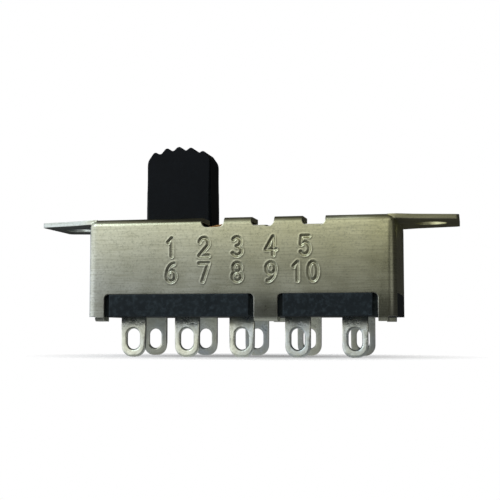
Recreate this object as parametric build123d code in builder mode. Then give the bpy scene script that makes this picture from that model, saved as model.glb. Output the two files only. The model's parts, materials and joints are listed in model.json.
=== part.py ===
"""Slide switch, two poles and four positions, with screw ears and ten solder lugs.

Frame: +X along the slot, -Y the front side, +Z out of the knob. The origin is in the middle of the
lug tips, on which the switch stands. All sizes are in millimetres. At rest the knob is at its -X end.
"""

import os

from build123d import *

os.makedirs("parts", exist_ok=True)

# --- Steel cover: body, ears and slots --------------------------------------------------------------
body_length = 33.2
body_width = 13.0
wall_height = 8.1
sheet = 0.5
corner_radius = 0.9
bend_radius = 0.8
overall_length = 45.8
ear_tip_width = 8.3
ear_waist_width = 10.7
ear_waist_reach = 1.7
ear_root_inset = 0.35
ear_corner_radius = 0.6
ear_hole_offset = 0.15
ear_hole_diameter = 3.4
slot_width = 4.85
slot_corner_radius = 0.35
detent_slot_width = 2.45
notch_depth = 1.05
notch_corner_radius = 0.6
end_seam = 0.15

# --- Crimp tabs of the cover -----------------------------------------------------------------------
end_tab_width = 1.9
middle_tab_width = 2.5
middle_tab_x = 3.02
tab_foot_reach = 1.7
tab_bend_radius = 0.45
tab_root_radius = 0.5

# --- Moulded base ----------------------------------------------------------------------------------
base_thickness = 2.4
rim_height = 2.6
rim_thickness = 0.8
barrier_width = 1.0
barrier_height = 0.9

# --- Solder lugs -----------------------------------------------------------------------------------
lugs_per_row = 5
lug_pitch = 6.05
lug_row_spacing = 8.0
lug_length = 4.3
lug_width = 2.7
lug_thickness = 0.5
lug_tip_radius = 1.15
lug_hole_width = 1.45
lug_hole_height = 2.25
lug_hole_edge = 0.8
pad_width = 3.1
pad_reach = 2.4
pad_bend_radius = 0.4
dome_radius = 0.85
dome_height = 0.45
dome_inset = 1.2

# --- Slider: carriage and knob ---------------------------------------------------------------------
detent_pitch = 5.4
detent_count = 4
knob_length = 7.5
knob_width = 4.3
knob_height = 8.65
knob_draft = 0.15
knob_crown = 0.6
knob_shoulder = 1.1
knob_shoulder_radius = 1.0
knob_corner_radius = 0.5
ridge_count = 5
ridge_pitch = 1.42
ridge_depth = 0.65
ridge_round = 0.35
skirt_height = 1.4
pocket_depth = 2.1
trough_depth = 1.55
carriage_corner_radius = 0.4

# --- Bridge contacts and their leaf springs --------------------------------------------------------
bridge_length = 11.0
bridge_width = 2.1
bridge_thickness = 0.35
bridge_end_rise = 0.75
bridge_end_run = 0.9
bridge_bend_radius = 0.8
leaf_span = 4.2
leaf_crown = 1.2
leaf_foot = 0.5
leaf_width = 1.8
leaf_thickness = 0.2
leaf_bend_radius = 0.7

# --- Detent spring ---------------------------------------------------------------------------------
spring_thickness = 0.25
spring_end_bar = 0.9
tongue_width = 4.1
crest_height = 0.35
crest_width = 0.9
crest_radius = 0.4
hump_offset = 0.4
arm_root_length = 0.9

# --- Clearances ------------------------------------------------------------------------------------
seat_clearance = 0.05
running_clearance = 0.15
spring_clearance = 0.1
contact_clearance = 0.1
pocket_clearance = 0.25

# --- Heights, from the lug tips up -----------------------------------------------------------------
base_bottom = lug_length
base_top = base_bottom + base_thickness
cover_top = base_top + wall_height
plate_underside = cover_top - sheet
rim_top = base_top + rim_height
pad_top = base_top + lug_thickness
bridge_bottom = pad_top + dome_height + contact_clearance
bridge_top = bridge_bottom + bridge_thickness
carriage_bottom = rim_top + running_clearance
skirt_bottom = carriage_bottom - skirt_height
pocket_roof = skirt_bottom + pocket_depth
spring_top = plate_underside - spring_clearance
carriage_top = spring_top - spring_thickness
trough_floor = carriage_top - trough_depth
knob_top = cover_top + knob_height

# --- Places in plan --------------------------------------------------------------------------------
inner_length = body_length - 2 * sheet
inner_width = body_width - 2 * sheet
board_length = inner_length - 2 * seat_clearance
board_width = inner_width - 2 * seat_clearance
chamber_length = board_length - 2 * rim_thickness
chamber_width = board_width - 2 * rim_thickness
travel = (detent_count - 1) * detent_pitch - 2 * hump_offset
rest_x = -travel / 2
slot_length = travel + knob_length + 2 * (hump_offset + spring_clearance)
slot_steps = [(step - detent_count / 2 + 0.5) * detent_pitch for step in range(detent_count)]
detent_slots = {-1: slot_steps[1:], 1: slot_steps[:-1]}
ear_hole_spacing = (overall_length + body_length) / 2 + 2 * ear_hole_offset
tab_gap = body_length - 2 * end_tab_width
lug_row_y = lug_row_spacing / 2
lug_outer_y = lug_row_y + lug_thickness / 2
dome_y = lug_outer_y - dome_inset
lug_places = [(place - (lugs_per_row - 1) / 2) * lug_pitch for place in range(lugs_per_row)]
carriage_length = inner_length - travel - 2 * running_clearance
carriage_width = inner_width - 2 * running_clearance
skirt_length = chamber_length - travel - 2 * running_clearance
skirt_width = chamber_width - 2 * running_clearance
spring_length = carriage_length - 2 * seat_clearance
spring_width = carriage_width - 2 * seat_clearance
arm_half = spring_length / 2 - spring_end_bar
arm_inner_y = knob_width / 2 + running_clearance
arm_width = spring_width / 2 - arm_inner_y
arm_y = arm_inner_y + arm_width / 2
poles = {"front": -1, "back": 1}


def slider_plane(height):
    """Horizontal plane under the middle of the slider, where it rests."""
    return Plane(origin=(rest_x, 0, height))


def upright_plane(x, y, height):
    """Plane facing the front, with its own +X along +X and its own +Y up."""
    return Plane(origin=(x, y, height), x_dir=(1, 0, 0), z_dir=(0, -1, 0))


def tab_windows(grow):
    """Plan of the six places where a tab passes the base, each one wider by grow at its sides."""
    with BuildSketch() as windows:
        Rectangle(2 * body_length, 2 * body_width)
        Rectangle(tab_gap - 2 * grow, 2 * body_width, mode=Mode.SUBTRACT)
        with Locations((middle_tab_x, 0)):
            Rectangle(middle_tab_width + 2 * grow, 2 * body_width)
        Rectangle(2 * body_length, body_width - 2 * corner_radius - 2 * grow, mode=Mode.SUBTRACT)
    return windows.sketch


# --- Cover: one folded sheet -----------------------------------------------------------------------
with BuildPart() as cover:
    with BuildSketch(Plane.XY.offset(base_top)):
        RectangleRounded(body_length, body_width, corner_radius)
    extrude(amount=wall_height)
    fillet(cover.edges().group_by(Axis.Z)[-1], bend_radius)
    with BuildSketch(Plane.XY.offset(base_top)):
        RectangleRounded(inner_length, inner_width, corner_radius - sheet)
        with GridLocations(inner_length, 0, 2, 1):
            Rectangle(4 * sheet, end_seam)
    extrude(amount=wall_height - sheet, mode=Mode.SUBTRACT)

    # Ears: the top plate runs on past both ends and narrows round the screw holes
    with BuildSketch(Plane.XY.offset(plate_underside)) as ears:
        with BuildLine():
            Polyline(
                (body_length / 2 - corner_radius, 0),
                (body_length / 2 - corner_radius, body_width / 2 - ear_root_inset),
                (body_length / 2, body_width / 2 - ear_root_inset),
                (body_length / 2 + ear_waist_reach, ear_waist_width / 2),
                (overall_length / 2, ear_tip_width / 2),
                (overall_length / 2, 0),
                close=True,
            )
        make_face()
        mirror(about=Plane.XZ)
        mirror(about=Plane.YZ)
        tips = ears.vertices().group_by(Axis.X)
        fillet(tips[0] + tips[-1], ear_corner_radius)
        with GridLocations(ear_hole_spacing, 0, 2, 1):
            Circle(ear_hole_diameter / 2, mode=Mode.SUBTRACT)
    extrude(amount=sheet)

    # Knob slot, and the detent slots that run from it across the bend into the walls
    with BuildSketch(Plane.XY.offset(plate_underside)) as slots:
        Rectangle(slot_length, slot_width)
        for side, places in detent_slots.items():
            with Locations([(x, side * body_width / 2) for x in places]):
                Rectangle(detent_slot_width, body_width)
        corners = slots.vertices().filter_by_position(Axis.Y, -slot_width / 2, slot_width / 2)
        fillet(corners, slot_corner_radius)
    extrude(amount=sheet, mode=Mode.SUBTRACT)
    for side, places in detent_slots.items():
        wall_y = side * (body_width / 2 - bend_radius)
        with BuildSketch(upright_plane(0, wall_y, cover_top)) as notches:
            with Locations([(x, 0) for x in places]):
                Rectangle(detent_slot_width, 2 * notch_depth)
            fillet(notches.vertices().group_by(Axis.Y)[0], notch_corner_radius)
        extrude(amount=-side * 2 * bend_radius, mode=Mode.SUBTRACT)

    # Tabs: the walls run down past the base, and their feet fold under it
    with BuildSketch(Plane.XY.offset(base_bottom)):
        RectangleRounded(body_length, body_width, corner_radius)
        RectangleRounded(inner_length, inner_width, corner_radius - sheet, mode=Mode.SUBTRACT)
        add(tab_windows(0), mode=Mode.INTERSECT)
    extrude(amount=base_thickness)
    tab_roots = cover.edges().filter_by(Axis.Y).filter_by_position(Axis.Z, base_top, base_top)
    fillet(tab_roots.filter_by_position(Axis.X, -tab_gap / 2, tab_gap / 2), tab_root_radius)
    end_foot_width = end_tab_width - corner_radius
    end_foot_x = (tab_gap + end_foot_width) / 2
    feet = {-end_foot_x: end_foot_width, middle_tab_x: middle_tab_width, end_foot_x: end_foot_width}
    for foot_x, foot_width in feet.items():
        with BuildSketch(Plane.YZ.offset(foot_x)) as foot:
            with BuildLine():
                Polyline(
                    (body_width / 2, base_top),
                    (body_width / 2, base_bottom - sheet),
                    (body_width / 2 - tab_foot_reach, base_bottom - sheet),
                    (body_width / 2 - tab_foot_reach, base_bottom),
                    (inner_width / 2, base_bottom),
                    (inner_width / 2, base_top),
                    close=True,
                )
            make_face()
            fillet(foot.vertices().group_by(Axis.Y)[0].sort_by(Axis.X)[-1], tab_bend_radius)
            mirror(about=Plane.YZ)
        extrude(amount=foot_width / 2, both=True)
cover.part.label = "cover"
export_step(cover.part, "parts/cover.step")

# --- Base: moulded tray that the tabs clamp --------------------------------------------------------
board_corner_radius = corner_radius - sheet - seat_clearance
with BuildPart() as base:
    with BuildSketch(Plane.XY.offset(base_bottom)):
        RectangleRounded(body_length, body_width, corner_radius)
    extrude(amount=base_thickness)
    with BuildSketch(Plane.XY.offset(base_bottom)):
        add(tab_windows(tab_root_radius + seat_clearance))
        RectangleRounded(board_length, board_width, board_corner_radius, mode=Mode.SUBTRACT)
    extrude(amount=base_thickness, mode=Mode.SUBTRACT)
    with BuildSketch(Plane.XY.offset(base_top)):
        RectangleRounded(board_length, board_width, board_corner_radius)
        Rectangle(chamber_length, chamber_width, mode=Mode.SUBTRACT)
    extrude(amount=rim_height)
    with BuildSketch(Plane.XY.offset(base_top)):
        Rectangle(chamber_length, barrier_width)
    extrude(amount=barrier_height)
    with BuildSketch(Plane.XY.offset(base_bottom)):
        with GridLocations(lug_pitch, lug_row_spacing, lugs_per_row, 2):
            Rectangle(lug_width + 2 * seat_clearance, lug_thickness + 2 * seat_clearance)
    extrude(amount=base_thickness, mode=Mode.SUBTRACT)
base.part.label = "base"
export_step(base.part, "parts/base.step")


# --- Terminals: a lug under the base, and a pad with a contact dome on its floor -------------------
def make_terminal(x, side):
    """One solder lug at x, in the front row (side -1) or the back row (side 1)."""
    with BuildPart() as terminal:
        with BuildSketch(upright_plane(x, side * lug_row_y, 0)) as blade:
            Rectangle(lug_width, pad_top, align=(Align.CENTER, Align.MIN))
            fillet(blade.vertices().group_by(Axis.Y)[0], lug_tip_radius)
            with Locations((0, lug_hole_edge + lug_hole_height / 2)):
                SlotOverall(lug_hole_height, lug_hole_width, rotation=90, mode=Mode.SUBTRACT)
        extrude(amount=lug_thickness / 2, both=True)
        with BuildSketch(Plane.XY.offset(base_top)):
            with Locations((x, side * (lug_outer_y - pad_reach / 2))):
                Rectangle(pad_width, pad_reach)
        extrude(amount=lug_thickness)
        top_edges = terminal.edges().filter_by(Axis.X).group_by(Axis.Z)[-1]
        fillet(top_edges.sort_by(Axis.Y)[max(side, 0) * -1], pad_bend_radius)
        with BuildSketch(upright_plane(x, side * dome_y, pad_top)):
            with BuildLine():
                TangentArc((0, dome_height), (dome_radius, 0), tangent=(1, 0))
                Line((dome_radius, 0), (0, 0))
                Line((0, 0), (0, dome_height))
            make_face()
        revolve(axis=Axis((x, side * dome_y, pad_top), (0, 0, 1)))
    return terminal.part


for pole, side in poles.items():
    for number, x in enumerate(lug_places, start=1):
        terminal_part = make_terminal(x, side)
        terminal_part.label = f"terminal_{pole}_{number}"
        export_step(terminal_part, f"parts/{terminal_part.label}.step")

# --- Slider: carriage under the plate, ridged knob above it ----------------------------------------
crown_half = (ridge_count - 1) * ridge_pitch / 2
ridge_line = []
for point in range(2 * ridge_count - 1):
    ridge_x = point * ridge_pitch / 2 - crown_half
    valley = ridge_depth * (point % 2)
    ridge_line.append((ridge_x, knob_top - knob_crown * (ridge_x / crown_half) ** 2 - valley))
shoulder_z = knob_top - knob_crown - knob_shoulder

with BuildPart() as knob:
    with BuildSketch(upright_plane(rest_x, 0, 0)) as profile:
        with BuildLine():
            Polyline(
                (-knob_length / 2, carriage_top),
                (-knob_length / 2, cover_top),
                (-knob_length / 2 + knob_draft, shoulder_z),
                *ridge_line,
                (knob_length / 2 - knob_draft, shoulder_z),
                (knob_length / 2, cover_top),
                (knob_length / 2, carriage_top),
                close=True,
            )
        make_face()
        ridge_floor = knob_top - knob_crown - ridge_depth
        fillet(profile.vertices().filter_by_position(Axis.Y, ridge_floor, knob_top), ridge_round)
        fillet(profile.vertices().filter_by_position(Axis.Y, shoulder_z, shoulder_z), knob_shoulder_radius)
    extrude(amount=knob_width / 2, both=True)
    with BuildSketch(Plane.YZ.offset(rest_x)) as side_profile:
        with BuildLine():
            Polyline(
                (-knob_width / 2, carriage_top),
                (-knob_width / 2, cover_top),
                (-knob_width / 2 + knob_draft, knob_top),
                (knob_width / 2 - knob_draft, knob_top),
                (knob_width / 2, cover_top),
                (knob_width / 2, carriage_top),
                close=True,
            )
        make_face()
        fillet(side_profile.vertices().group_by(Axis.Y)[-1], ridge_round)
    extrude(amount=knob_length / 2, both=True, mode=Mode.INTERSECT)
    with BuildSketch(slider_plane(carriage_top)):
        RectangleRounded(knob_length, knob_width, knob_corner_radius)
    extrude(amount=knob_top - carriage_top, mode=Mode.INTERSECT)

with BuildPart() as slider:
    with BuildSketch(slider_plane(carriage_bottom)):
        RectangleRounded(carriage_length, carriage_width, carriage_corner_radius)
    extrude(amount=carriage_top - carriage_bottom)
    with BuildSketch(slider_plane(skirt_bottom)):
        RectangleRounded(skirt_length, skirt_width, carriage_corner_radius)
    extrude(amount=skirt_height)
    with BuildSketch(slider_plane(skirt_bottom)):
        with GridLocations(0, 2 * dome_y, 1, 2):
            Rectangle(bridge_length + 2 * pocket_clearance, bridge_width + 2 * pocket_clearance)
    extrude(amount=pocket_depth, mode=Mode.SUBTRACT)
    with BuildSketch(slider_plane(trough_floor)):
        Rectangle(2 * arm_half, 2 * carriage_width)
        Rectangle(2 * arm_half, knob_width, mode=Mode.SUBTRACT)
    extrude(amount=trough_depth, mode=Mode.SUBTRACT)
    add(knob.part)
slider.part.label = "slider"
export_step(slider.part, "parts/slider.step")

# --- Bridge contacts: sled-shaped strips, and the bowed leaf that presses each one down -------------
leaf_rise = pocket_roof - bridge_top - 2 * seat_clearance - leaf_thickness
for pole, side in poles.items():
    with BuildPart() as bridge:
        sled_z = bridge_bottom + bridge_thickness / 2
        with BuildSketch(upright_plane(rest_x, side * dome_y, sled_z)):
            with BuildLine():
                FilletPolyline(
                    (-bridge_length / 2, bridge_end_rise),
                    (-bridge_length / 2 + bridge_end_run, 0),
                    (bridge_length / 2 - bridge_end_run, 0),
                    (bridge_length / 2, bridge_end_rise),
                    radius=bridge_bend_radius,
                )
            trace(line_width=bridge_thickness)
        extrude(amount=bridge_width / 2, both=True)
    bridge.part.label = f"bridge_contact_{pole}"
    export_step(bridge.part, f"parts/{bridge.part.label}.step")

    with BuildPart() as leaf:
        leaf_z = bridge_top + seat_clearance + leaf_thickness / 2
        with BuildSketch(upright_plane(rest_x, side * dome_y, leaf_z)):
            with BuildLine():
                FilletPolyline(
                    (-leaf_span / 2 - leaf_foot, 0),
                    (-leaf_span / 2, 0),
                    (-leaf_crown / 2, leaf_rise),
                    (leaf_crown / 2, leaf_rise),
                    (leaf_span / 2, 0),
                    (leaf_span / 2 + leaf_foot, 0),
                    radius=leaf_bend_radius,
                )
            trace(line_width=leaf_thickness)
        extrude(amount=leaf_width / 2, both=True)
    leaf.part.label = f"contact_spring_{pole}"
    export_step(leaf.part, f"parts/{leaf.part.label}.step")

# --- Detent spring: a plate round the knob, with a humped arm on each side --------------------------
# The back arm's hump stands in its slot. The front arm is pressed down, its hump just under the plate.
# The humps stand off the knob's middle, back and front the opposite way, so both wedge it in mid travel.
hump_rise = cover_top + crest_height - spring_top
hump_foot = detent_slot_width / 2 - spring_clearance - spring_thickness / 2
arm_dip = {-1: hump_rise, 1: 0}
arm_crest = {-1: 0, 1: hump_rise}
spring_middle = spring_top - spring_thickness / 2

with BuildPart() as detent_spring:
    with BuildSketch(slider_plane(carriage_top)):
        Rectangle(spring_length, spring_width)
        Rectangle(2 * arm_half, spring_width, mode=Mode.SUBTRACT)
        Rectangle(2 * arm_half, tongue_width)
        Rectangle(knob_length + 2 * pocket_clearance, tongue_width, mode=Mode.SUBTRACT)
    extrude(amount=spring_thickness)
    for side in poles.values():
        hump_x = -side * hump_offset
        arm_path = []
        for end in (-1, 1):
            half_path = [(hump_x + end * crest_width / 2, arm_crest[side])]
            half_path.append((hump_x + end * hump_foot, -arm_dip[side]))
            if arm_dip[side] > 0:
                half_path.append((end * (arm_half - arm_root_length), 0))
            half_path.append((end * spring_length / 2, 0))
            arm_path = arm_path[::-1] + half_path
        with BuildSketch(upright_plane(rest_x, side * arm_y, spring_middle)):
            with BuildLine():
                FilletPolyline(*arm_path, radius=crest_radius)
            trace(line_width=spring_thickness)
        extrude(amount=arm_width / 2, both=True)
detent_spring.part.label = "detent_spring"
export_step(detent_spring.part, "parts/detent_spring.step")
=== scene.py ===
"""Looks of the slide switch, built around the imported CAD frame. All lengths are in metres."""

import json
import math

import bmesh
import bpy
import numpy as np
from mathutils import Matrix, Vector


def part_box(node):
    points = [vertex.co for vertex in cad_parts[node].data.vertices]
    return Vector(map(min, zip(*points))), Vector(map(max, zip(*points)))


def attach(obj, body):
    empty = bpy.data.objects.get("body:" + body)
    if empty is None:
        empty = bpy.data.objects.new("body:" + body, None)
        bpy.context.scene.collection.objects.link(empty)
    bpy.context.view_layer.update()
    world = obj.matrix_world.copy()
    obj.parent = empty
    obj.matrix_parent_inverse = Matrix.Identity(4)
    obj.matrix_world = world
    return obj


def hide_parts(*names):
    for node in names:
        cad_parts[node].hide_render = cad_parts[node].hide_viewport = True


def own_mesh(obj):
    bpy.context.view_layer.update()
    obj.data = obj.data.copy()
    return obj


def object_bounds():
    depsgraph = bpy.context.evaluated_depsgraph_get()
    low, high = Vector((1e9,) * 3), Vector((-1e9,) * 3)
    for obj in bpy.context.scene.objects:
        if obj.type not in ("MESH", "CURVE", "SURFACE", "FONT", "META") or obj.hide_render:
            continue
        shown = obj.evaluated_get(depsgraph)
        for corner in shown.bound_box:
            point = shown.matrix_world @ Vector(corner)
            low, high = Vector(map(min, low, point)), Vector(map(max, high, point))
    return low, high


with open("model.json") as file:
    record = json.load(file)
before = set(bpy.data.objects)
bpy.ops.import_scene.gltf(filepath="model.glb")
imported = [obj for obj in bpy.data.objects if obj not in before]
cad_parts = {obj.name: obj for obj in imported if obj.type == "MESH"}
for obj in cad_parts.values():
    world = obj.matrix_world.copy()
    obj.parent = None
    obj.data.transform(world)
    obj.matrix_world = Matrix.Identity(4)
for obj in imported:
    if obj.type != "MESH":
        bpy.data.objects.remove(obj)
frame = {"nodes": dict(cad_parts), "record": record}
nodes = frame["nodes"]
cad_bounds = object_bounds()

MM = 0.001
SAME_PLACE = 1e-7  # points closer than this are one
NEAR_LINE = 1e-6  # points closer than this to a line lie on it

# Places that follow from the frame
cover_low, cover_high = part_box("cover")
slider_low, slider_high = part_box("slider")
spring_low, spring_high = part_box("detent_spring")
base_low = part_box("base")[0]
rest_x = (slider_low[0] + slider_high[0]) / 2
wall_y = base_low[1]

ON_SLIDER = ("slider", "detent_spring")


# --- Colours ----------------------------------------------------------------------------------
def linear(red, green, blue):
    """A colour given as 0-255 display values, as the shader's linear values."""
    straight = 10  # up to this value the display's curve is a straight line
    return tuple(
        ((c / 255 + 0.055) / 1.055) ** 2.4 if c > straight else c / 255 / 12.92
        for c in (red, green, blue)
    ) + (1.0,)


def scaled(colour, share):
    return tuple(share * c for c in colour[:3]) + (1.0,)


# painted light tint: the steel is greyer low on the left and warmer high on the right
STEEL_GREY = linear(202, 205, 192), linear(218, 221, 210)
STEEL_WARM = linear(208, 206, 162), linear(224, 222, 180)
# painted highlight: the cool white that the left end is paled to
STEEL_LEFT_HIGHLIGHT = linear(222, 231, 228)
STEEL_ROLLED = linear(150, 150, 122)
STEEL_GRAIN = linear(118, 120, 98)
# painted highlight: the near white that the steel's edges are paled to
STEEL_EDGE_HIGHLIGHT = linear(240, 240, 226)
SILVER = linear(242, 245, 227), linear(204, 214, 220)
SILVER_CLOUD = linear(206, 208, 186)
SILVER_GRAIN = linear(140, 136, 108)
# painted highlight: the near white that the lugs' rims are paled to
SILVER_RIM_HIGHLIGHT = linear(246, 248, 236)
# the second colour of each pair is a painted highlight along the moulding's edges
BASE_FACE, BASE_EDGE_HIGHLIGHT = linear(46, 54, 58), linear(84, 92, 98)
SLIDER_FACE, SLIDER_EDGE_HIGHLIGHT = linear(12, 18, 24), linear(50, 56, 60)
BRONZE = linear(150, 112, 72), linear(196, 152, 100)
COPPER = linear(176, 112, 76), linear(214, 150, 108)
FLOOR_PAINT = (0.86, 0.86, 0.86, 1)
WHITE, WARM_LIGHT, COOL_LIGHT = (1, 1, 1, 1), (1, 0.98, 0.84, 1), (1, 1.14, 1.45, 1)


# --- Shader helpers ---------------------------------------------------------------------------
class Shader:
    """The nodes of a material or a world: adds them and links them in one call each."""

    def __init__(self, owner, output="OutputMaterial"):
        self.owner = owner
        owner.use_nodes = True
        self.tree = owner.node_tree
        self.tree.nodes.clear()
        self.output = self.add(output)

    def add(self, kind, inputs=None, **settings):
        made = self.tree.nodes.new("ShaderNode" + kind)
        for key, value in settings.items():
            setattr(made, key, value)
        for key, value in (inputs or {}).items():
            self.put(made.inputs[key], value)
        return made

    def put(self, socket, value):
        if isinstance(value, bpy.types.NodeSocket):
            self.tree.links.new(value, socket)
        else:
            socket.default_value = value

    def noise(self, size, detail=4.0, roughness=0.6, stretch=(1, 1, 1)):
        """Noise whose features are about size across, stretched along each axis."""
        where = self.add("TexCoord").outputs["Object"]
        scale = tuple(1 / (size * s) for s in stretch)
        placed = self.add("Mapping", {"Vector": where, "Scale": scale}).outputs["Vector"]
        settings = {"Vector": placed, "Scale": 1.0, "Detail": detail, "Roughness": roughness}
        return self.add("TexNoise", settings).outputs["Fac"]

    def place(self):
        """The X, Y and Z of each point."""
        where = self.add("TexCoord").outputs["Object"]
        return self.add("SeparateXYZ", {"Vector": where}).outputs

    def span(self, value, from_low, from_high, to_low, to_high):
        ends = {"From Min": from_low, "From Max": from_high, "To Min": to_low, "To Max": to_high}
        return self.add("MapRange", {"Value": value, **ends}).outputs["Result"]

    def blend(self, share, first, second):
        """One colour blended into another."""
        made = self.add("Mix", data_type="RGBA")
        self.put(made.inputs[0], share)
        self.put(made.inputs[6], first)
        self.put(made.inputs[7], second)
        return made.outputs[2]

    def mix(self, share, first, second):
        """One shader blended into another."""
        made = self.add("MixShader", {0: share})
        self.put(made.inputs[1], first.outputs[0])
        self.put(made.inputs[2], second.outputs[0])
        return made

    def math(self, operation, first, second):
        made = self.add("Math", operation=operation)
        self.put(made.inputs[0], first)
        self.put(made.inputs[1], second)
        return made.outputs[0]

    def rounded(self, radius):
        """The normal as if every edge had this radius."""
        return self.add("Bevel", {"Radius": radius}, samples=8).outputs["Normal"]

    def edge_share(self, radius):
        """1 along convex and concave edges within radius, 0 on flat faces."""
        cosine = self.add("VectorMath", operation="DOT_PRODUCT")
        self.put(cosine.inputs[0], self.rounded(radius))
        self.put(cosine.inputs[1], self.add("NewGeometry").outputs["Normal"])
        return self.span(cosine.outputs["Value"], 0.995, 0.9, 0.0, 1.0)

    def bump(self, height, depth, under=None):
        made = self.add("Bump", {"Height": height, "Distance": depth, "Strength": 1.0})
        if under is not None:
            self.put(made.inputs["Normal"], under)
        return made.outputs["Normal"]

    def show(self, surface):
        """Makes this node what the owner shows, and gives back the owner."""
        self.put(self.output.inputs["Surface"], surface.outputs[0])
        return self.owner

    def finish(self, colour, roughness, normal, **fixed):
        """The finished material. Names in fixed are further sockets, such as metallic."""
        settings = {"Base Color": colour, "Roughness": roughness, "Normal": normal}
        surface = self.add("BsdfPrincipled", settings)
        for key, value in fixed.items():
            socket = key.replace("_", " ").title().replace("Ior", "IOR")
            surface.inputs[socket].default_value = value
        return self.show(surface)


def new_material(name):
    return Shader(bpy.data.materials.new(name))


# --- Materials --------------------------------------------------------------------------------
def plated_steel():
    """Dull nickel plate on rolled sheet, finely speckled, with a painted highlight along its
    sheared edges.

    Painted light: it is greyer low on the left and warmer high on the right, the tint of the
    light falling there, and painted whiter at its left end, where the light from the left falls.
    Its walls are shaded as if they curved in a little towards their top, and all tabs but the
    left one towards their feet.
    """
    s = new_material("plated_steel")
    cloud = s.noise(3.5 * MM, detail=5)
    wave = s.noise(7 * MM, detail=2)
    grain = s.noise(0.2 * MM, detail=3, roughness=0.75)
    rolled = s.noise(0.12 * MM, detail=3, stretch=(30, 30, 1))
    edge = s.edge_share(0.14 * MM)
    x, _, z = s.place()[:3]

    cloudy = s.span(cloud, 0.35, 0.65, 0, 1)
    # painted light: greyer low on the left, warmer high on the right, the tint of the light
    # falling there
    rise = s.math("ADD", s.math("MULTIPLY", x, 0.25), z)
    grey, warm = s.blend(cloudy, *STEEL_GREY), s.blend(cloudy, *STEEL_WARM)
    # painted highlight: the left end, where the light from the left falls, is paled towards cool
    # white
    left_highlight = s.span(x, -18 * MM, -15.4 * MM, 1, 0)
    colour = s.blend(s.span(rise, 4 * MM, 18 * MM, 0, 1), grey, warm)
    colour = s.blend(left_highlight, colour, STEEL_LEFT_HIGHLIGHT)
    colour = s.blend(s.span(rolled, 0.42, 0.7, 0, 0.4), colour, STEEL_ROLLED)
    colour = s.blend(s.span(grain, 0.5, 0.78, 0, 0.6), colour, STEEL_GRAIN)
    # painted highlight: every edge is paled towards near white
    colour = s.blend(s.math("MULTIPLY", edge, 0.7), colour, STEEL_EDGE_HIGHLIGHT)
    speckle = s.span(grain, 0.4, 0.7, -0.03, 0.08)
    roughness = s.math("ADD", s.span(cloud, 0.3, 0.7, 0.28, 0.38), speckle)

    bow_start, tuck_end = base_low[2] + 3.5 * MM, base_low[2] + 2.9 * MM
    bow = s.math("POWER", s.span(z, bow_start, cover_high[2], 0, 1), 2.6)
    tuck = s.math("POWER", s.span(z, cover_low[2], tuck_end, 1, 0), 2.0)
    past_left_tab = s.span(x, -14.6 * MM, -13 * MM, 0, 1)
    tuck = s.math("MULTIPLY", tuck, past_left_tab)
    inward = s.math("MULTIPLY", s.math("ADD", bow, tuck), -1.0)
    normal = s.bump(inward, 0.4 * MM, s.rounded(0.11 * MM))
    normal = s.bump(wave, 0.05 * MM, normal)
    normal = s.bump(rolled, 0.0012 * MM, normal)
    normal = s.bump(grain, 0.003 * MM, normal)
    return s.finish(colour, roughness, normal, metallic=1.0)


def black_moulding(name, face, edge_highlight, haze, roughness_low, roughness_high):
    """Black moulded plastic: matt, with a painted highlight along its edges and with flow marks
    haze times as pale.
    """
    s = new_material(name)
    skin = s.noise(0.10 * MM, detail=4, roughness=0.65)
    cloud = s.noise(2.4 * MM, detail=3)
    mottle = s.noise(0.55 * MM, detail=4, roughness=0.7)
    edge = s.edge_share(0.22 * MM)
    colour = s.blend(s.span(cloud, 0.35, 0.7, 0, 1), face, scaled(face, 0.75))
    colour = s.blend(s.span(mottle, 0.48, 0.7, 0, 1), colour, scaled(face, haze))
    # painted highlight: edges are paled towards the highlight colour
    colour = s.blend(s.math("MULTIPLY", edge, 0.8), colour, edge_highlight)
    roughness = s.span(cloud, 0.3, 0.7, roughness_low, roughness_high)
    normal = s.bump(skin, 0.004 * MM, s.rounded(0.12 * MM))
    return s.finish(colour, roughness, normal, specular_ior_level=0.15)


def silver_plate():
    """Bright silver plate on stamped lugs: soft dents, yellowish patches and a painted highlight
    on the rims.

    Below the base, the front row is shaded as if it looked up a little, the back row down.
    """
    s = new_material("silver_plate")
    tone = s.noise(4.5 * MM, detail=1)
    cloud = s.noise(1.1 * MM, detail=4)
    grain = s.noise(0.16 * MM, detail=4, roughness=0.7)
    rim = s.edge_share(0.3 * MM)
    _, y, z = s.place()[:3]

    colour = s.blend(s.span(tone, 0.35, 0.65, 0, 1), *SILVER)
    colour = s.blend(s.span(cloud, 0.35, 0.7, 0, 0.6), colour, SILVER_CLOUD)
    colour = s.blend(s.span(grain, 0.5, 0.8, 0, 0.35), colour, SILVER_GRAIN)
    # painted highlight: the rims are paled to near white
    colour = s.blend(rim, colour, SILVER_RIM_HIGHLIGHT)
    clouded = s.span(cloud, 0.3, 0.7, 0.24, 0.38)
    roughness = s.math("SUBTRACT", clouded, s.math("MULTIPLY", rim, 0.06))

    row = s.span(y, -1 * MM, 1 * MM, 1, -1)
    lean = s.math("MULTIPLY", s.span(z, 0, base_low[2], 1, 0), row)
    normal = s.bump(lean, 0.8 * MM)
    normal = s.bump(cloud, 0.06 * MM, normal)
    normal = s.bump(grain, 0.004 * MM, normal)
    return s.finish(colour, roughness, normal, metallic=1.0)


def worn_metal(name, dark, light, roughness_low, roughness_high):
    """Bronze or copper strip, drawn along X, with brighter rubbed patches."""
    s = new_material(name)
    cloud = s.noise(1.6 * MM, detail=5)
    drawn = s.noise(0.08 * MM, detail=3, stretch=(25, 1, 1))
    colour = s.blend(s.span(cloud, 0.35, 0.68, 0, 1), dark, light)
    roughness = s.span(cloud, 0.3, 0.7, roughness_low, roughness_high)
    normal = s.bump(drawn, 0.002 * MM, s.rounded(0.05 * MM))
    return s.finish(colour, roughness, normal, metallic=1.0)


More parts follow.
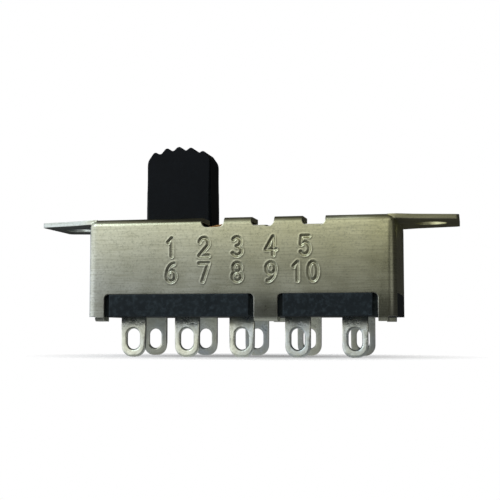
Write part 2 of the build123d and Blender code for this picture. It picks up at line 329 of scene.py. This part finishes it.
MATERIALS = {
    "plated_steel": plated_steel(),
    "base_moulding": black_moulding("base_moulding", BASE_FACE, BASE_EDGE_HIGHLIGHT, 2.2, 0.42, 0.55),
    "slider_moulding": black_moulding(
        "slider_moulding", SLIDER_FACE, SLIDER_EDGE_HIGHLIGHT, 1.3, 0.36, 0.5
    ),
    "silver_plate": silver_plate(),
    "spring_bronze": worn_metal("spring_bronze", *BRONZE, 0.24, 0.4),
    "contact_copper": worn_metal("contact_copper", *COPPER, 0.25, 0.4),
}

SUBPARTS = {entry["node"]: entry for entry in frame["record"]["subparts"]}
for node_name, entry in SUBPARTS.items():
    for held in nodes[node_name].material_slots:
        held.material = MATERIALS[entry["material_slot"]]


# --- Shape helpers ----------------------------------------------------------------------------
JOIN_WITHIN = 0.001 * MM
FLAT_WITHIN = math.radians(0.5)
SHARP_ABOVE = math.radians(30)  # edges that bend more are rounded
CREASE_ABOVE = math.radians(35)  # edges that bend more are shaded sharp


def cad_copy(node_name):
    """A CAD node's own shape with its split edges joined and its flat faces whole."""
    shape = bmesh.new()
    shape.from_mesh(nodes[node_name].data)
    bmesh.ops.remove_doubles(shape, verts=shape.verts, dist=JOIN_WITHIN)
    bmesh.ops.dissolve_limit(
        shape, angle_limit=FLAT_WITHIN, verts=shape.verts, edges=shape.edges
    )
    return shape


def soften(shape, width, segments, chosen=lambda edge: True):
    """Rounds the sharp edges that chosen accepts."""
    sharp = [
        e for e in shape.edges
        if e.is_manifold and e.calc_face_angle(0) > SHARP_ABOVE and chosen(e)
    ]
    bmesh.ops.bevel(
        shape, geom=sharp, offset=width, segments=segments, profile=0.5, affect="EDGES",
        clamp_overlap=False,
    )


def cut(shape, faces, point, normal):
    """Splits these faces, with their edges and corners, along a plane."""
    edges = {e for f in faces for e in f.edges}
    verts = {v for f in faces for v in f.verts}
    bmesh.ops.bisect_plane(
        shape, geom=list(verts) + list(edges) + list(faces), dist=SAME_PLACE,
        plane_co=point, plane_no=normal,
    )


def make_piece(name, shape, node_name, replaced=True, rounded=False):
    """A piece on a CAD node's body, in that node's place; the node is hidden where it is
    replaced.

    Where its edges are rounded, its flat faces keep their own normals and the roundings
    blend between them.
    """
    mesh = bpy.data.meshes.new(name)
    bmesh.ops.recalc_face_normals(shape, faces=shape.faces)
    shape.to_mesh(mesh)
    shape.free()
    mesh.polygons.foreach_set("use_smooth", [True] * len(mesh.polygons))
    mesh.set_sharp_from_angle(angle=CREASE_ABOVE)
    piece = bpy.data.objects.new(name, mesh)
    bpy.context.scene.collection.objects.link(piece)
    mesh.materials.append(MATERIALS[SUBPARTS[node_name]["material_slot"]])
    if rounded:
        piece.modifiers.new("flat faces", "WEIGHTED_NORMAL").keep_sharp = True
    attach(piece, "slider" if node_name in ON_SLIDER else "housing")
    if replaced:
        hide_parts(node_name)
    return piece


# --- Stamped terminal numbers -----------------------------------------------------------------
def arc(x, y, across, up, start, end, steps=18):
    """Points along an ellipse's arc, with angles in degrees."""
    angles = np.radians(np.linspace(start, end, steps))
    return list(zip(x + across * np.cos(angles), y + up * np.sin(angles)))


# Strokes of each digit, in a box from (0, 0) to (1, 1)
SIX = arc(0.85, 0.31, 0.77, 0.69, 95, 180) + arc(0.5, 0.31, 0.42, 0.31, 180, -180)
STROKES = {
    "1": [[(0.2, 0.78), (0.55, 1.0), (0.55, 0.0)]],
    "2": [arc(0.5, 0.7, 0.43, 0.3, 165, -25) + [(0.05, 0.0), (0.97, 0.0)]],
    "3": [arc(0.47, 0.755, 0.38, 0.245, 150, -90), arc(0.47, 0.255, 0.45, 0.255, 90, -150)],
    "4": [[(0.72, 0.0), (0.72, 1.0), (0.04, 0.3), (0.98, 0.3)]],
    "5": [[(0.88, 1.0), (0.2, 1.0), (0.12, 0.56)] + arc(0.48, 0.33, 0.44, 0.33, 140, -145)],
    "6": [SIX],
    "7": [[(0.05, 1.0), (0.95, 1.0), (0.38, 0.0)]],
    "8": [arc(0.5, 0.755, 0.36, 0.245, 0, 360), arc(0.5, 0.255, 0.43, 0.255, 0, 360)],
    "9": [[(1 - x, 1 - y) for x, y in SIX]],
    "0": [arc(0.5, 0.5, 0.42, 0.5, 0, 360)],
}
DIGIT_WIDTH = 1.12 * MM
DIGIT_HEIGHT = 1.9 * MM
DIGIT_GAP = 0.55 * MM
NUMBER_PITCH = 3.6 * MM
ROWS = {11.65 * MM: ("1", "2", "3", "4", "5"), 8.95 * MM: ("6", "7", "8", "9", "10")}
STROKE_HALF = 0.22 * MM
STAMP_DEPTH = 0.16 * MM
BURR_HEIGHT = 0.02 * MM
BURR_PLACE = 1.15 * STROKE_HALF  # from the middle of the stroke
BURR_WIDTH = 0.35 * STROKE_HALF

# The panel of the front wall that is laid out as a fine grid for the stamping
PANEL_LEFT, PANEL_RIGHT = -9.3 * MM, 9.3 * MM
PANEL_LOW, PANEL_HIGH = 7.45 * MM, 13.2 * MM
PANEL_STEP = 0.055 * MM
SEAM_WITHIN = 0.004 * MM
LEAST_AREA = MM ** 2  # smaller faces in the wall's plane are left alone


def number_strokes():
    """Each stroke of each number, as points (x, z) on the wall."""
    for row_z, numbers in ROWS.items():
        for place, number in enumerate(numbers):
            centre = (place - (len(numbers) - 1) / 2) * NUMBER_PITCH
            width = len(number) * DIGIT_WIDTH + (len(number) - 1) * DIGIT_GAP
            for index, digit in enumerate(number):
                left = centre - width / 2 + index * (DIGIT_WIDTH + DIGIT_GAP)
                low = row_z - DIGIT_HEIGHT / 2
                for stroke in STROKES[digit]:
                    yield np.array(stroke) * (DIGIT_WIDTH, DIGIT_HEIGHT) + (left, low)


def stamp_depths(x, z):
    """How far the punches push the wall in at each point, less the burr raised around them."""
    far = 1.0
    nearest = np.full(x.shape, far)
    for points in number_strokes():
        for a, b in zip(points[:-1], points[1:]):
            run = b - a
            share = ((x - a[0]) * run[0] + (z - a[1]) * run[1]) / max(run @ run, 1e-18)
            share = np.clip(share, 0, 1)
            gap = np.hypot(x - a[0] - share * run[0], z - a[1] - share * run[1])
            nearest = np.minimum(nearest, gap)
    groove = np.clip(1 - (nearest / STROKE_HALF) ** 2, 0, 1) ** 1.5
    burr = np.exp(-(((nearest - BURR_PLACE) / BURR_WIDTH) ** 2))
    return STAMP_DEPTH * groove - BURR_HEIGHT * burr


def wall_faces(shape):
    """The front wall's flat faces."""
    return [
        f for f in shape.faces
        if f.normal.y < -0.999 and abs(f.calc_center_median().y - wall_y) < JOIN_WITHIN
        and f.calc_area() > LEAST_AREA
    ]


def in_panel(vert):
    return (
        PANEL_LEFT - NEAR_LINE < vert.co.x < PANEL_RIGHT + NEAR_LINE
        and PANEL_LOW - NEAR_LINE < vert.co.z < PANEL_HIGH + NEAR_LINE
    )


def on_border(vert):
    """Whether a corner lies on the panel's outline."""
    beside = min(abs(vert.co.x - PANEL_LEFT), abs(vert.co.x - PANEL_RIGHT))
    above = min(abs(vert.co.z - PANEL_LOW), abs(vert.co.z - PANEL_HIGH))
    return in_panel(vert) and min(beside, above) < NEAR_LINE


def cut_out_panel(shape):
    """Splits the front wall along the panel's outline and gives the faces inside it."""
    for x in (PANEL_LEFT, PANEL_RIGHT):
        cut(shape, wall_faces(shape), (x, 0, 0), (1, 0, 0))
    for z in (PANEL_LOW, PANEL_HIGH):
        middle = [f for f in wall_faces(shape) if abs(f.calc_center_bounds().x) < MM]
        cut(shape, middle, (0, 0, z), (0, 0, 1))
    return [f for f in wall_faces(shape) if all(in_panel(v) for v in f.verts)]


def stamped_cover():
    """The cover with the terminal numbers punched into its front wall, on a fine grid."""
    shape = cad_copy("cover")
    panel = cut_out_panel(shape)
    columns = round((PANEL_RIGHT - PANEL_LEFT) / PANEL_STEP)
    rows = round((PANEL_HIGH - PANEL_LOW) / PANEL_STEP)
    border = {e for f in panel for e in f.edges}
    bmesh.ops.delete(shape, geom=panel, context="FACES_ONLY")
    for edge in border:
        along_x = abs(edge.verts[0].co.z - edge.verts[1].co.z) < SAME_PLACE
        cuts = (columns if along_x else rows) - 1
        bmesh.ops.subdivide_edges(shape, edges=[edge], cuts=cuts)

    xs = np.linspace(PANEL_LEFT, PANEL_RIGHT, columns + 1)
    zs = np.linspace(PANEL_LOW, PANEL_HIGH, rows + 1)
    grid_x, grid_z = np.meshgrid(xs, zs, indexing="ij")
    depth = stamp_depths(grid_x, grid_z)
    depth[[0, -1], :] = 0
    depth[:, [0, -1]] = 0
    grid = [
        [
            shape.verts.new((grid_x[i, j], wall_y + depth[i, j], grid_z[i, j]))
            for j in range(rows + 1)
        ]
        for i in range(columns + 1)
    ]
    for i in range(columns):
        for j in range(rows):
            shape.faces.new((grid[i][j], grid[i + 1][j], grid[i + 1][j + 1], grid[i][j + 1]))
    rim = [v for v in shape.verts if abs(v.co.y - wall_y) < SAME_PLACE and on_border(v)]
    bmesh.ops.remove_doubles(shape, verts=rim, dist=SEAM_WITHIN)
    make_piece("cover_shell", shape, "cover")


# --- Lugs and mouldings with rounded edges ----------------------------------------------------
def coined_terminals():
    """Each lug's outline and eye are rounded over, as a coining punch leaves them."""
    width, shallow = 0.28 * MM, 0.5  # shallow is the depth of the rounding over its width
    rounded_below = base_low[2] + 2.3 * MM
    for node_name in sorted(n for n in nodes if n.startswith("terminal_")):
        shape = cad_copy(node_name)
        bmesh.ops.scale(shape, vec=(1, 1 / shallow, 1), verts=shape.verts)
        soften(shape, width, 5, lambda e: max(v.co.z for v in e.verts) < rounded_below)
        bmesh.ops.scale(shape, vec=(1, shallow, 1), verts=shape.verts)
        make_piece(node_name.replace("terminal", "lug"), shape, node_name, rounded=True)


def moulded_parts():
    """The base and the slider with the small radii of their moulds."""
    for node_name, radius in (("base", 0.1 * MM), ("slider", 0.08 * MM)):
        shape = cad_copy(node_name)
        soften(shape, radius, 2)
        make_piece(node_name + "_moulding", shape, node_name, rounded=True)


# --- Detent spring: the plate, the two humps and the front slope as pieces of their own -------
HUMP_OFFSET = 0.4 * MM  # each hump's place along X, to either side of the middle
FOOT_X = 1.05 * MM  # from a hump's middle to its foot
ARM_Y = 2.3 * MM  # the arms lie further out than this
arm_x = (spring_high[0] - spring_low[0]) / 2 - 1.8 * MM


def section_at(centre):
    """Name of the section that a point belongs to."""
    along = centre.x - rest_x
    if abs(centre.y) < ARM_Y or abs(along) > arm_x:
        return "plate"
    if centre.y < 0:
        return "hump_front" if abs(along - HUMP_OFFSET) < FOOT_X else "slope_front"
    return "hump_back" if abs(along + HUMP_OFFSET) < FOOT_X else "plate"


def spring_section(section):
    """One section of the detent spring, with its cut ends closed."""
    shape = cad_copy("detent_spring")
    feet = [hump + end for hump in (-HUMP_OFFSET, HUMP_OFFSET) for end in (-FOOT_X, FOOT_X)]
    for x in feet + [-arm_x, arm_x]:
        cut(shape, shape.faces, (rest_x + x, 0, 0), (1, 0, 0))
    for y in (-ARM_Y, ARM_Y):
        cut(shape, shape.faces, (0, y, 0), (0, 1, 0))
    gone = [f for f in shape.faces if section_at(f.calc_center_median()) != section]
    bmesh.ops.delete(shape, geom=gone, context="FACES")
    bmesh.ops.holes_fill(shape, edges=[e for e in shape.edges if e.is_boundary], sides=0)
    return shape


def detent_spring_pieces():
    """The plate stays as it is and replaces the CAD spring. The front hump, the front slope and
    the back hump are pieces of their own, each with a mesh of its own.
    """
    made = {}
    for section in ("plate", "hump_front", "slope_front", "hump_back"):
        made[section] = make_piece(
            "spring_" + section, spring_section(section), "detent_spring",
            replaced=section == "plate",
        )
    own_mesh(made["hump_front"])
    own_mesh(made["hump_back"])
    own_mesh(made["slope_front"])


stamped_cover()
coined_terminals()
moulded_parts()
detent_spring_pieces()


# --- Stage: floor, surroundings, lamp and camera ----------------------------------------------
FLOOR_RADIUS = 0.12
FLOOR_GAP = 0.01 * MM
FADE_START, FADE_END = 0.006, 0.026  # distances along X from the middle
FADE_OVAL = 1.7  # along Y the same distances are this many times shorter
ROOM_LEAST = 0.035


def white_stage():
    """A pale floor that keeps a soft shadow and fades out into the white background.

    The camera, mirrored rays and rays through glass see part of it as plain white.
    """
    s = new_material("stage_white")
    paint = s.add("BsdfDiffuse", {"Color": FLOOR_PAINT})
    glow = s.add("Emission", {"Color": WHITE, "Strength": 1.0})
    paths = s.add("LightPath").outputs
    seen = s.math("MAXIMUM", paths["Is Camera Ray"], paths["Is Glossy Ray"])
    seen = s.math("MAXIMUM", seen, paths["Is Transmission Ray"])
    floor = s.mix(s.math("MULTIPLY", seen, 0.3), paint, glow)

    where = s.add("TexCoord").outputs["Object"]
    oval = s.add("VectorMath", {0: where, 1: (1, FADE_OVAL, 1)}, operation="MULTIPLY")
    away = s.add("VectorMath", {0: oval.outputs["Vector"]}, operation="LENGTH")
    fade = s.span(away.outputs["Value"], FADE_START, FADE_END, 0, 1)
    hidden = s.math("MAXIMUM", fade, s.add("NewGeometry").outputs["Backfacing"])
    return s.show(s.mix(hidden, floor, s.add("BsdfTransparent")))


def make_floor():
    mesh = bpy.data.meshes.new("floor")
    shape = bmesh.new()
    bmesh.ops.create_circle(shape, cap_ends=True, segments=64, radius=FLOOR_RADIUS)
    shape.to_mesh(mesh)
    shape.free()
    floor = bpy.data.objects.new("floor", mesh)
    floor.location.z = cad_bounds[0][2] - FLOOR_GAP
    mesh.materials.append(white_stage())
    bpy.context.scene.collection.objects.link(floor)


def make_world():
    """White to the camera. The part is lit from the upper left and by a dim front-right doorway.

    Straight above, and behind on the right, it is darker. Mirrored rays see white where the
    light comes from.
    """
    s = Shader(bpy.data.worlds.new("surround"), "OutputWorld")
    paths = s.add("LightPath").outputs
    where = s.add("TexCoord").outputs["Generated"]

    def along(x, y, z):
        """Cosine of the angle between a ray and this direction."""
        aim = {0: where, 1: Vector((x, y, z)).normalized()}
        return s.add("VectorMath", aim, operation="DOT_PRODUCT").outputs["Value"]

    upper_left = s.math("POWER", s.span(along(-0.55, 0.0, 0.83), 0.07, 0.46, 0.0, 1.0), 1.15)
    overhead = s.span(along(0, 0, 1), 0.5, 0.9, 1.0, 0.25)
    behind = s.span(along(0.5, 0.866, 0), -0.3, 0.3, 1.0, 0.03)
    doorway = s.span(along(0.72, -0.68, 0.12), 0.9, 0.98, 0.0, 0.3)
    level = s.math("MULTIPLY", s.math("MULTIPLY", upper_left, overhead), behind)
    level = s.math("MAXIMUM", s.math("MAXIMUM", level, doorway), ROOM_LEAST)

    tint = s.blend(s.span(along(-1, 0, 0), 0.2, 0.9, 0, 1), WARM_LIGHT, COOL_LIGHT)
    tint = s.blend(s.span(along(1, 0, 0), 0.1, 0.5, 0, 1), tint, WHITE)
    room = s.add("Background", {"Color": tint, "Strength": level})
    white = s.add("Background", {"Color": WHITE, "Strength": 1.0})
    straight = s.math("MAXIMUM", paths["Is Camera Ray"], paths["Is Transmission Ray"])
    mirrored = s.math("MULTIPLY", s.math("MULTIPLY", level, level), paths["Is Glossy Ray"])
    bpy.context.scene.world = s.show(s.mix(s.math("MAXIMUM", straight, mirrored), room, white))


def put_up(thing, place, target):
    """Stands a lamp or the camera in its place, aimed at the target."""
    made = bpy.data.objects.new(thing.name, thing)
    made.location = place
    made.rotation_euler = (target - place).to_track_quat("-Z", "Y").to_euler()
    bpy.context.scene.collection.objects.link(made)
    return made


def make_lamp():
    """One weak cool lamp, high at the front left."""
    light = bpy.data.lights.new("key", "AREA")
    light.shape = "DISK"
    light.size = 0.14
    light.energy = 0.2
    light.color = (0.8, 0.93, 1.0)
    put_up(light, Vector((-0.20, -0.18, 0.26)), Vector((0, 0, 0.01)))


def make_camera():
    """Level with the lugs, to the right of the middle and close in front, as in the picture."""
    low, high = cad_bounds
    data = bpy.data.cameras.new("camera")
    data.sensor_width = 36
    data.lens = 74
    data.clip_start = 0.005
    target = Vector((0, 0, (low[2] + high[2]) / 2 + 0.1 * MM))
    bpy.context.scene.camera = put_up(data, Vector((23.8, -111.5, 2.9)) * MM, target)


make_floor()
make_world()
make_lamp()
make_camera()
bpy.context.scene.view_settings.view_transform = "Standard"
